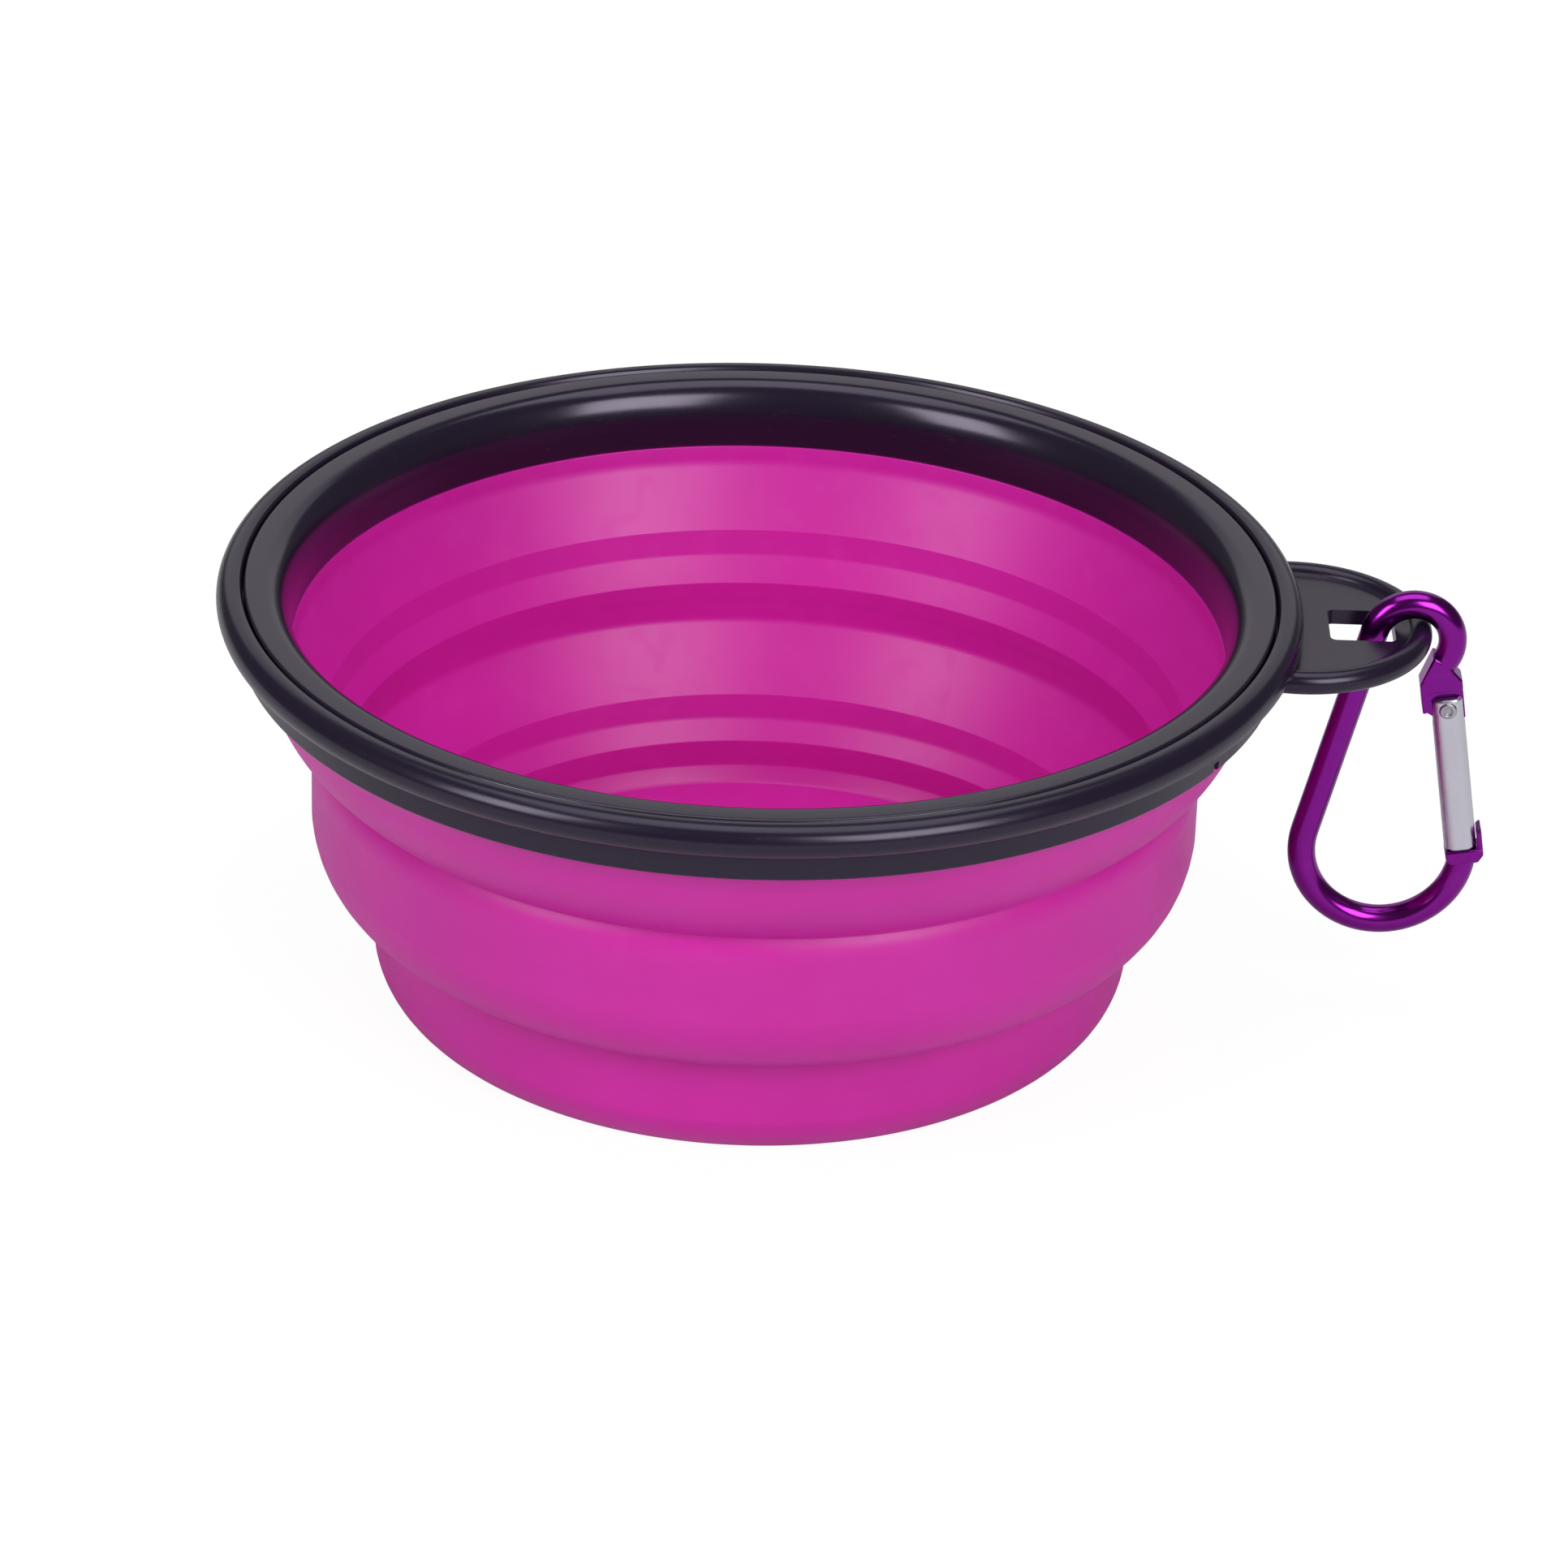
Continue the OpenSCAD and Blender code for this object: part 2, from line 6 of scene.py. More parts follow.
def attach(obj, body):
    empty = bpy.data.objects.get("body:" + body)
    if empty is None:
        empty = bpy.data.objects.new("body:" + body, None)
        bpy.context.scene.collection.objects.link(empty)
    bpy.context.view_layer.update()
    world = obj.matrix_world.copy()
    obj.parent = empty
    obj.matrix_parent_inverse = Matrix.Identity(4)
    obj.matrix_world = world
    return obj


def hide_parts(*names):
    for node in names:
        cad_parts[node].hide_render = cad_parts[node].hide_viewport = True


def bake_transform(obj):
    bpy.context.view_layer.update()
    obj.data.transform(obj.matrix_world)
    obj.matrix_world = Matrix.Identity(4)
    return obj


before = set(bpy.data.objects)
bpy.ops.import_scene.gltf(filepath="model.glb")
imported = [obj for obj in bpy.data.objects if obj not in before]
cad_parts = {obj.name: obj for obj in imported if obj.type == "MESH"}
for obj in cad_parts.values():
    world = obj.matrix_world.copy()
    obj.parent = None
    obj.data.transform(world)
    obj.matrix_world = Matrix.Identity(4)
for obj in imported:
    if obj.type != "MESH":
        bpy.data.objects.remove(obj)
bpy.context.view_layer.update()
print("frame loaded")

# camera at the photo's viewing angle: degrees and millimetres, near and far in metres
view = {"elevation": 27.543, "roll": 1.909, "place": (3.55, -700.02, 391.36), "lens": 149.07,
        "sensor": 36, "near": 0.01, "far": 20}


def addCamera():
    tilt, turn = radians(view["elevation"]), radians(view["roll"])
    side = Vector((1, 0, 0))
    up = Vector((0, sin(tilt), cos(tilt)))
    back = Vector((0, -cos(tilt), sin(tilt)))
    right = side * cos(turn) + up * sin(turn)
    top = up * cos(turn) - side * sin(turn)
    bpy.ops.object.camera_add()
    camera = bpy.context.object
    camera.name = "photoCamera"
    camera.matrix_world = Matrix.Translation(Vector(view["place"]) / 1000) @ Matrix(
        (right, top, back)).transposed().to_4x4()
    camera.data.sensor_width, camera.data.lens = view["sensor"], view["lens"]
    camera.data.clip_start, camera.data.clip_end = view["near"], view["far"]
    bpy.context.scene.camera = camera


addCamera()
print("camera placed")

# shapes: lengths in metres here, angles in degrees

shaping = {"seed": 0.001, "merge": 2e-6, "smooth": 32, "bevelFrom": 40, "bevelSegments": 3,
           "shortest": 1e-6, "straight": 89.5, "filletShare": 0.48, "swellSteps": 10}


def mm(*values):
    return tuple(v / 1000 for v in values)


def rounded(corners, arcSteps=6):
    # corners are (r, z) or (r, z, fillet radius); the fillets come back as short arcs
    points = []
    for i, corner in enumerate(corners):
        here = Vector(corner[:2])
        a = Vector(corners[i - 1][:2]) - here
        b = Vector(corners[(i + 1) % len(corners)][:2]) - here
        room = min(a.length, b.length)
        a, b = a.normalized(), b.normalized()
        half = a.angle(b, pi) / 2
        if len(corner) == 2 or room < shaping["shortest"] or half > radians(shaping["straight"]):
            points.append(tuple(here))
            continue
        reach = min(corner[2] / tan(half), room * shaping["filletShare"])
        centre = here + (a + b).normalized() * (reach / cos(half))
        start, end = here + a * reach - centre, here + b * reach - centre
        sweep = atan2(start.x * end.y - start.y * end.x, start.dot(end))
        for t in (sweep * step / arcSteps for step in range(arcSteps + 1)):
            points.append((centre.x + start.x * cos(t) - start.y * sin(t),
                           centre.y + start.x * sin(t) + start.y * cos(t)))
    return points


def swollen(a, b, swell):
    # points from a to b on a parabola that swells to the outer side, ends left out
    a, b, steps = Vector(a), Vector(b), shaping["swellSteps"]
    run = b - a
    out = Vector((-run.y, run.x)).normalized()
    return [tuple(a + run * t + out * swell * 4 * t * (1 - t))
            for t in (i / steps for i in range(1, steps))]


def arcPoints(centre, radius, start, end, steps):
    # points on an arc in the section plane, angles in degrees
    return [(centre[0] + radius * cos(radians(start + (end - start) * i / steps)),
             centre[1] + radius * sin(radians(start + (end - start) * i / steps)))
            for i in range(steps + 1)]


def rectangle(low, high, *fillet):
    return [(low[0], low[1], *fillet), (high[0], low[1], *fillet),
            (high[0], high[1], *fillet), (low[0], high[1], *fillet)]


def activate(piece):
    bpy.ops.object.select_all(action="DESELECT")
    bpy.context.view_layer.objects.active = piece
    piece.select_set(True)


def startLine(name, point):
    # one vertex in edit mode, made from a plane; point is (x, y, z) in metres
    bpy.ops.object.select_all(action="DESELECT")
    bpy.ops.mesh.primitive_plane_add(size=shaping["seed"], location=(0, 0, 0))
    piece = bpy.context.object
    piece.name = name
    bpy.ops.object.mode_set(mode="EDIT")
    bpy.ops.mesh.select_mode(type="VERT")
    bpy.ops.mesh.select_all(action="SELECT")
    bpy.ops.mesh.merge(type="CENTER")
    bpy.ops.transform.translate(value=point)
    return piece


def drawLine(points):
    for a, b in zip(points, points[1:]):
        bpy.ops.mesh.extrude_vertices_move(
            TRANSFORM_OT_translate={"value": tuple(q - p for p, q in zip(a, b))})


def mergeDoubles():
    # in edit mode; everything is selected afterwards
    bpy.ops.mesh.select_all(action="SELECT")
    bpy.ops.mesh.remove_doubles(threshold=shaping["merge"])
    bpy.ops.mesh.select_all(action="SELECT")


def tidyMesh(smoothAngle=shaping["smooth"]):
    # in edit mode: merge doubles, point the faces outwards, and go back to object mode
    mergeDoubles()
    bpy.ops.mesh.normals_make_consistent(inside=False)
    bpy.ops.object.mode_set(mode="OBJECT")
    bpy.ops.object.shade_smooth_by_angle(angle=radians(smoothAngle))


def turned(name, section, steps, axisX=0, closed=True, smoothAngle=shaping["smooth"]):
    # spins a section of (r, z) in millimetres about an upright axis at axisX
    points = [mm(axisX + r, 0, z) for r, z in section]
    if closed:
        points.append(points[0])
    piece = startLine(name, points[0])
    drawLine(points)
    mergeDoubles()
    bpy.ops.mesh.spin(steps=steps, angle=2 * pi, center=mm(axisX, 0, 0), axis=(0, 0, 1))
    tidyMesh(smoothAngle)
    return piece


def prism(name, points, push):
    # fills the closed line through points and pushes it out, all in metres
    piece = startLine(name, points[0])
    drawLine(points + points[:1])
    mergeDoubles()
    bpy.ops.mesh.edge_face_add()
    bpy.ops.mesh.extrude_region_move(TRANSFORM_OT_translate={"value": push})
    tidyMesh()
    return piece


def soften(piece, edge):
    # rounds the sharp edges of the active piece, edge in millimetres
    bpy.ops.object.modifier_add(type="BEVEL")
    bevel = piece.modifiers[-1]
    bevel.width, bevel.segments, bevel.limit_method = edge / 1000, shaping["bevelSegments"], "ANGLE"
    bevel.angle_limit = radians(shaping["bevelFrom"])
    bpy.ops.object.modifier_apply(modifier=bevel.name)


def plate(name, outline, thickness, edge=0):
    # an upright plate in the X-Z plane, centred on Y
    piece = prism(name, [mm(x, -thickness / 2, z) for x, z in outline], mm(0, thickness, 0))
    if edge:
        soften(piece, edge)
    return piece


def combine(piece, other, operation):
    # union or difference of two pieces; the other one is used up
    activate(piece)
    bpy.ops.object.modifier_add(type="BOOLEAN")
    step = piece.modifiers[-1]
    step.object, step.operation, step.solver = other, operation, "EXACT"
    bpy.ops.object.modifier_apply(modifier=step.name)
    bpy.data.objects.remove(other)
    bpy.ops.object.mode_set(mode="EDIT")
    tidyMesh()


def place(piece, turn, point):
    # turns a piece about the origin, moves it to point, and applies both, and its scale
    activate(piece)
    piece.rotation_euler, piece.location = turn, point
    bpy.ops.object.transform_apply(location=True, rotation=True, scale=True)


# finishes: procedural, in object coordinates


class Wire:
    def __init__(self, finish, socket):
        self.finish, self.socket = finish, socket

    def math(self, operation, first, second):
        return self.finish.node("ShaderNodeMath", {"operation": operation}, {0: first, 1: second})

    def __add__(self, other): return self.math("ADD", self, other)
    def __radd__(self, other): return self.math("ADD", other, self)
    def __sub__(self, other): return self.math("SUBTRACT", self, other)
    def __rsub__(self, other): return self.math("SUBTRACT", other, self)
    def __mul__(self, other): return self.math("MULTIPLY", self, other)
    def __rmul__(self, other): return self.math("MULTIPLY", other, self)


class Finish:
    def __init__(self, name, plain):
        self.material = bpy.data.materials.new(name)
        self.material.use_nodes = True
        self.tree = self.material.node_tree
        self.shader = self.tree.nodes["Principled BSDF"]
        for key, value in plain.items():
            self.shader.inputs[key].default_value = value

    def node(self, kind, settings, values, out=0):
        made = self.tree.nodes.new(kind)
        for key, value in settings.items():
            if key == "stops":
                for element, (spot, shade) in zip(made.color_ramp.elements, value):
                    element.position, element.color = spot, (shade, shade, shade, 1)
            else:
                setattr(made, key, value)
        for key, value in values.items():
            self.feed(made.inputs[key], value)
        return Wire(self, made.outputs[out])

    def feed(self, socket, value):
        if isinstance(value, Wire):
            self.tree.links.new(value.socket, socket)
        else:
            socket.default_value = value

    def set(self, key, value):
        self.feed(self.shader.inputs[key], value)

    def noise(self, scale, detail, roughness, stretch=None):
        spot = self.node("ShaderNodeTexCoord", {}, {}, "Object")
        if stretch:
            spot = self.node("ShaderNodeMapping", {}, {"Vector": spot, "Scale": stretch})
        return self.node("ShaderNodeTexNoise", {}, {
            "Vector": spot, "Scale": scale, "Detail": detail, "Roughness": roughness}, "Fac")

    def ramp(self, value, low, high):
        # 0 up to low, 1 from high on
        return self.node("ShaderNodeValToRGB", {"stops": [(low, 0), (high, 1)]}, {"Fac": value})

    def blendColour(self, amount, first, second):
        return self.node("ShaderNodeMix", {"data_type": "RGBA"},
                         {0: amount, 6: (*first, 1) if isinstance(first, tuple) else first,
                          7: (*second, 1) if isinstance(second, tuple) else second}, 2)

    def bump(self, height, strength, depth):
        self.set("Normal", self.node("ShaderNodeBump", {}, {
            "Height": height, "Strength": strength, "Distance": depth}))


def dress(piece, finish):
    piece.data.materials.clear()
    piece.data.materials.append(finish.material)


# noises are (scale, detail, roughness) and a stretch; bumps are (strength, depth in metres)
siliconeLook = {"colour": (0.64, 0.014, 0.385), "deep": (0.58, 0.010, 0.335),
                "dust": (0.70, 0.07, 0.47), "roughness": 0.42,
                "plain": {"Subsurface Weight": 0.12, "Subsurface Radius": (0.6, 0.12, 0.3),
                          "Subsurface Scale": 0.004, "Specular IOR Level": 0.48},
                "cloud": (45, 4, 0.55), "cloudRamp": (0.35, 0.65), "cloudShare": 0.5,
                "cloudRough": 0.12, "smear": (260, 5, 0.62), "smearRamp": (0.52, 0.78),
                "dustShare": 0.1, "dustRough": 0.1,
                "grain": (2600, 2, 0.5), "grainShare": 0.6, "bump": (0.18, 0.00006)}


def makeSilicone():
    look = siliconeLook
    finish = Finish("magentaSilicone", look["plain"])
    cloud, grain, smear = (finish.noise(*look[key]) for key in ("cloud", "grain", "smear"))
    base = finish.blendColour(finish.ramp(cloud, *look["cloudRamp"]) * look["cloudShare"],
                              look["colour"], look["deep"])
    dusty = finish.ramp(smear, *look["smearRamp"])
    finish.set("Base Color", finish.blendColour(dusty * look["dustShare"], base, look["dust"]))
    finish.set("Roughness", look["roughness"] + (cloud - 0.5) * look["cloudRough"]
               + dusty * look["dustRough"])
    finish.bump(grain * look["grainShare"] + smear * (1 - look["grainShare"]), *look["bump"])
    return finish


rimLook = {"colour": (0.012, 0.0072, 0.020), "scuff": (0.034, 0.027, 0.048),
           "sheen": (0.88, 0.80, 1.0, 1), "outer": {"roughness": 0.24, "specular": 0.48},
           "inner": {"roughness": 0.2, "specular": 0.6},
           "grain": (5200, 2, 0.5), "cloud": (70, 4, 0.6), "cloudRough": 0.08,
           "scratch": (420, 6, 0.7, (1, 1, 4)), "scratchRamp": (0.60, 0.74),
           "scuffShare": 0.35, "scuffRough": 0.08, "bump": (0.08, 0.00003)}


def makeRimPlastic(side):
    look, own = rimLook, rimLook[side]
    finish = Finish(side + "RimPlastic", {"Specular IOR Level": own["specular"],
                                          "Specular Tint": look["sheen"]})
    grain, cloud, scratch = (finish.noise(*look[key]) for key in ("grain", "cloud", "scratch"))
    scuffed = finish.ramp(scratch, *look["scratchRamp"])
    finish.set("Base Color", finish.blendColour(scuffed * look["scuffShare"],
                                                look["colour"], look["scuff"]))
    finish.set("Roughness", own["roughness"] + (cloud - 0.5) * look["cloudRough"]
               + scuffed * look["scuffRough"])
    finish.bump(grain, *look["bump"])
    return finish


hookLook = {"colour": (0.27, 0.010, 0.325), "worn": (0.38, 0.05, 0.44), "roughness": 0.17,
            "plain": {"Metallic": 1.0, "Coat Weight": 0.15, "Coat Roughness": 0.1},
            "drawn": (1500, 3, 0.6, (1, 1, 0.18)), "drawnRough": 0.08,
            "cloud": (160, 4, 0.6), "wornRamp": (0.55, 0.75), "wornShare": 0.25,
            "wornRough": 0.05, "bump": (0.08, 0.00003)}


def makeAnodised():
    look = hookLook
    finish = Finish("purpleAnodised", look["plain"])
    drawn, cloud = finish.noise(*look["drawn"]), finish.noise(*look["cloud"])
    rubbed = finish.ramp(cloud, *look["wornRamp"])
    finish.set("Base Color", finish.blendColour(rubbed * look["wornShare"],
                                                look["colour"], look["worn"]))
    finish.set("Roughness", look["roughness"] + drawn * look["drawnRough"]
               + rubbed * look["wornRough"])
    finish.bump(drawn, *look["bump"])
    return finish


gateLook = {"colour": (0.70, 0.70, 0.77), "dull": (0.56, 0.54, 0.61), "roughness": 0.22,
            "brushed": (2600, 3, 0.6, (1, 1, 0.08)), "brushedRough": 0.12,
            "cloud": (90, 4, 0.6), "dullRamp": (0.4, 0.7), "dullShare": 0.25,
            "bump": (0.12, 0.00003)}


def makeGateMetal():
    look = gateLook
    finish = Finish("bareGateMetal", {"Metallic": 1.0})
    brushed, cloud = finish.noise(*look["brushed"]), finish.noise(*look["cloud"])
    finish.set("Base Color", finish.blendColour(
        finish.ramp(cloud, *look["dullRamp"]) * look["dullShare"], look["colour"], look["dull"]))
    finish.set("Roughness", look["roughness"] + brushed * look["brushedRough"])
    finish.bump(brushed, *look["bump"])
    return finish


steelLook = {"colour": (0.50, 0.50, 0.53), "dark": (0.30, 0.30, 0.33), "roughness": 0.28,
             "cloud": (700, 4, 0.6), "darkRamp": (0.4, 0.7), "darkShare": 0.5,
             "cloudRough": 0.1}


def makeSteel():
    look = steelLook
    finish = Finish("plainSteel", {"Metallic": 1.0})
    cloud = finish.noise(*look["cloud"])
    finish.set("Base Color", finish.blendColour(
        finish.ramp(cloud, *look["darkRamp"]) * look["darkShare"], look["colour"], look["dark"]))
    finish.set("Roughness", look["roughness"] + cloud * look["cloudRough"])
    return finish


silicone, anodised, gateMetal, steel = makeSilicone(), makeAnodised(), makeGateMetal(), makeSteel()
outerPlastic, innerPlastic = makeRimPlastic("outer"), makeRimPlastic("inner")
print("finishes made")

# silicone bowl: two meshes that meet where the middle tier stands upright
# its sections are (r, z, fillet radius) in millimetres

crispEdge, softCorner, tierRadius = 0.35, 1.5, 53.75
bowl = {"steps": 200, "smooth": 50, "meetZ": 26.5, "meetInner": 50.45,
        "upperCrease": (52.8, 33.9), "lowerCrease": (46.2, 13.6), "creaseRound": 0.25,
        "foldTop": (59.5, 43.8), "foldTopRound": 1.5, "tierShoulder": (tierRadius, 30.2),
        "tierFoot": (tierRadius, 22.9), "tierFootRound": 2.5,
        "upperSwell": 1.2, "lowerSwell": 2.0, "shoulderSwell": 0.35,
        "flangeOutside": [(60.95, 51.2, 0.3), (60.95, 46.9, 0.4)],
        "flangeInside": [(56.0, 45.6, 0.1), (56.9, 45.6), (59.0, 48.5), (59.0, 51.2)],
        "upperInside": [(50.0, 29.1, crispEdge), (51.5, 32.5, softCorner),
                        (51.95, 35.7, crispEdge), (55.8, 43.4, 3.5)],
        "lowerInside": [(0, 4.1), (42.6, 4.1, 0.7), (43.7, 6.2, 0.6), (43.3, 9.8, crispEdge),
                        (45.06, 12.2, softCorner), (45.5, 15.4, crispEdge),
                        (50.9, 23.5, softCorner)],
        "baseWall": [(46.2, 11.6, 0.8), (46.1, 9.0, 2.0)], "baseTurn": (46.1, 5.4),
        "baseTurnRound": 1.2, "baseSwell": 0.9, "foot": (41.8, 0), "footRound": 0.8}


def makeUpperSilicone():
    top, crease, shoulder = bowl["foldTop"], bowl["upperCrease"], bowl["tierShoulder"]
    section = rounded(
        bowl["flangeOutside"] + [(*top, bowl["foldTopRound"])]
        + swollen(top, crease, bowl["upperSwell"]) + [(*crease, bowl["creaseRound"])]
        + swollen(crease, shoulder, bowl["shoulderSwell"])
        + [shoulder, (tierRadius, bowl["meetZ"]), (bowl["meetInner"], bowl["meetZ"])]
        + bowl["upperInside"] + bowl["flangeInside"])
    piece = turned("upperSilicone", section, bowl["steps"], smoothAngle=bowl["smooth"])
    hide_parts("bowl_flange", "upper_fold", "middle_tier")
    dress(piece, silicone)
    mm(0, 0, bowl["upperCrease"][1])
    mm(0, 0, bowl["foldTop"][1])
    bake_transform(piece)


def makeLowerSilicone():
    tierFoot, crease, turn, foot = (bowl[key] for key in ("tierFoot", "lowerCrease",
                                                          "baseTurn", "foot"))
    section = rounded(
        bowl["lowerInside"] + [(bowl["meetInner"], bowl["meetZ"]), (tierRadius, bowl["meetZ"]),
                               (*tierFoot, bowl["tierFootRound"])]
        + swollen(tierFoot, crease, bowl["lowerSwell"]) + [(*crease, bowl["creaseRound"])]
        + bowl["baseWall"] + [(*turn, bowl["baseTurnRound"])]
        + swollen(turn, foot, bowl["baseSwell"]) + [(*foot, bowl["footRound"]), (0, 0)])
    piece = turned("lowerSilicone", section, bowl["steps"], closed=False,
                   smoothAngle=bowl["smooth"])
    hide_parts("lower_fold", "base_cup")
    dress(piece, silicone)
    mm(0, 0, bowl["lowerCrease"][1])
    mm(0, 0, bowl["tierFoot"][1])
    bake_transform(piece)


makeUpperSilicone()
makeLowerSilicone()
print("silicone bowl made")

# rim: outer ring with its tab, and inner ring, in millimetres

rim = {"steps": 220, "beadRing": 62.9, "beadZ": 51.9, "bead": 2.1, "beadFoot": -76,
       "beadSteps": 30, "parting": 61.9, "grooveDepth": 0.35, "grooveTurn": 9,
       "skirt": 62.4, "skirtTop": (49.55, 0.35), "skirtInner": 61.05, "skirtFoot": 46.5,
       "skirtRounds": (0.3, 0.2), "shelf": 51.34,
       "notchBearing": 31, "notchDepth": 4, "notchWidth": 1.1, "notchHeight": 1.2,
       "landTop": 53.8, "landOuter": 61.72, "landRound": 0.5, "landFoot": 51.4,
       "ringFoot": 45.65, "ringWall": 56.0, "ringTaper": 0.02, "ringRound": (3.3, 5.5),
       "ringSteps": 20, "footWidth": 0.9, "footRounds": (0.3, 0.2), "seat": (58.94, 48.5),
       "arcSteps": 14}
tab = {"centre": 64.3, "radius": 14.85, "bead": 1.45, "beadArc": (150, -90, 22), "z": 49.85,
       "floor": 1.9, "dish": 0.55, "dishRound": 0.6, "steps": 128,
       "core": 61.8, "coreMiddle": 50, "coreHeight": 50,
       "slotNear": 68.2, "slotFar": 76.05, "slotHalf": 4.1, "slotCorner": 0.8,
       "slotCutFrom": 40, "slotCutHeight": 20}


def makeOuterRing():
    # the bead starts where its circle meets the parting line
    startAngle = degrees(acos((rim["parting"] - rim["beadRing"]) / rim["bead"]))
    grooveZ = rim["beadZ"] + rim["bead"] * sin(radians(startAngle)) - rim["grooveDepth"]
    outerFoot, innerFoot = rim["skirtRounds"]
    section = rounded([(rim["parting"], rim["shelf"]), (rim["parting"], grooveZ)]
                      + arcPoints((rim["beadRing"], rim["beadZ"]), rim["bead"],
                                  startAngle - rim["grooveTurn"], rim["beadFoot"],
                                  rim["beadSteps"])
                      + [(rim["skirt"], *rim["skirtTop"]),
                         (rim["skirt"], rim["skirtFoot"], outerFoot),
                         (rim["skirtInner"], rim["skirtFoot"], innerFoot),
                         (rim["skirtInner"], rim["shelf"])])
    piece = turned("outerRimRing", section, rim["steps"])
    combine(piece, makeTab(), "UNION")
    combine(piece, makeNotchCutter(), "DIFFERENCE")
    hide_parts("rim_outer_ring")
    dress(piece, outerPlastic)
    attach(piece, "rim")


def makeNotchCutter():
    bearing = radians(rim["notchBearing"])
    bpy.ops.mesh.primitive_cube_add(size=1)
    notch = bpy.context.object
    notch.scale = mm(rim["notchDepth"], rim["notchWidth"], 2 * rim["notchHeight"])
    place(notch, (0, 0, -bearing), mm(rim["skirt"] * cos(bearing), -rim["skirt"] * sin(bearing),
                                      rim["skirtFoot"]))
    return notch


def makeTab():
    foot = tab["z"] - tab["bead"]
    floorTop = foot + tab["floor"]
    section = rounded([(0, floorTop),
                       (tab["radius"] - tab["bead"] - tab["dish"], floorTop, tab["dishRound"])]
                      + arcPoints((tab["radius"], tab["z"]), tab["bead"], *tab["beadArc"])
                      + [(0, foot)])
    lug = turned("tabPlate", section, tab["steps"], axisX=tab["centre"], closed=False)
    bpy.ops.mesh.primitive_cylinder_add(vertices=rim["steps"], radius=tab["core"] / 1000,
                                        depth=tab["coreHeight"] / 1000)
    core = bpy.context.object
    place(core, (0, 0, 0), mm(0, 0, tab["coreMiddle"]))
    combine(lug, core, "DIFFERENCE")
    combine(lug, makeSlotCutter(), "DIFFERENCE")
    return lug


def makeSlotCutter():
    outline = rounded(rectangle((tab["slotNear"], -tab["slotHalf"]),
                                (tab["slotFar"], tab["slotHalf"]), tab["slotCorner"]))
    return prism("slotCutter", [mm(x, y, tab["slotCutFrom"]) for x, y in outline],
                 mm(0, 0, tab["slotCutHeight"]))


def makeInnerRing():
    top, wall, foot = rim["landTop"], rim["ringWall"], rim["ringFoot"]
    across, down = rim["ringRound"]
    outerFoot, innerFoot = rim["footRounds"]
    roll = [(wall + across * (1 - sin(t)), top - down * (1 - cos(t)))
            for t in (pi / 2 * i / rim["ringSteps"] for i in range(rim["ringSteps"] + 1))]
    section = rounded([(rim["landOuter"], rim["landFoot"]),
                       (rim["landOuter"], top, rim["landRound"])] + roll
                      + [(wall + rim["ringTaper"], foot, outerFoot),
                         (wall + rim["footWidth"], foot, innerFoot), rim["seat"],
                         (rim["seat"][0], rim["landFoot"])], rim["arcSteps"])
    piece = turned("innerRimRing", section, rim["steps"])
    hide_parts("rim_inner_ring")
    dress(piece, innerPlastic)
    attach(piece, "rim")


makeOuterRing()
makeInnerRing()
print("rim made")

# snap hook, in millimetres: a bent bar with a shoulder, leg, tongue, nose and lip on its ends

hook = {"bar": 1.7, "sides": 28, "centre": (78.4, 48.55), "tabPlay": 0.13, "inset": 1.7,
        "drop": 28.3, "lowerBend": 9.8, "endAngle": 36, "noseAngle": 5, "rivetDrop": 8.5,
        "lowerSteps": 44, "spineSteps": 6, "topSteps": 40,
        "block": 3.3, "edges": (0.3, 0.2, 0.12, 0.25, 0.18), "gap": 0.12,
        "shoulderRise": 2.45, "shoulderHeight": 1.3, "shoulderRounds": (0.4, 0.3),
        "weldInset": 0.25, "weldDepth": 0.5,
        "legPlay": 0.1, "legReach": 0.1, "legBevel": (0.6, 0.5), "legRounds": (0.15, 0.2),
        "tongue": 1.4, "tongueReach": 2.0, "tongueArc": (-140, -70, 14), "tongueInner": 3.05,
        "tongueOuter": 2.05, "outerReach": 1.6,
        "noseHeight": 1.8, "noseRound": 0.4, "noseLap": 0.25,
        "lip": 0.6, "lipHeight": 2.6, "lipSlope": 0.4, "lipInset": 0.1}
gate = {"width": 3.9, "thickness": 3.5, "head": 1.4, "corner": 1.45, "cornerSteps": 8,
        "edge": 0.3, "cheekLow": (-6, -2.2), "cheekHigh": (6, 4), "cheekPlay": 0.2}
rivet = {"steps": 40, "arcSteps": 4, "shank": 0.75,
         "head": [(0, 0.02), (0.42, 0.06, 0.1), (0.55, 0.3, 0.15), (0.95, 0.22, 0.15),
                  (1.1, -0.05)]}

# the top bend hangs round the tab's bead; each end of the gate meets the bar
topBend = (hypot(tab["centre"] + tab["radius"] - hook["centre"][0], tab["z"] - hook["centre"][1])
           + tab["bead"] + hook["tabPlay"] + hook["bar"])
bendStep = hook["lowerBend"] - topBend
lowerCentre = (hook["centre"][0] - hook["inset"], hook["centre"][1] - hook["drop"])
spineLean = (asin(bendStep / hypot(hook["inset"], hook["drop"]))
             + atan2(hook["inset"], hook["drop"]))
rivetSpot = (hook["centre"][0] + topBend, hook["centre"][1] - hook["rivetDrop"])
noseAngle, endAngle = radians(hook["noseAngle"]), radians(hook["endAngle"])
noseSpot = (lowerCentre[0] + hook["lowerBend"] * cos(noseAngle),
            lowerCentre[1] - hook["lowerBend"] * sin(noseAngle))
noseRun = (noseSpot[0] - rivetSpot[0], noseSpot[1] - rivetSpot[1])
gateLean = atan2(noseRun[0], -noseRun[1])
gateReach = hypot(*noseRun) + hook["noseLap"] - hook["noseHeight"] - hook["gap"]
rivetPoint = mm(rivetSpot[0], 0, rivetSpot[1])


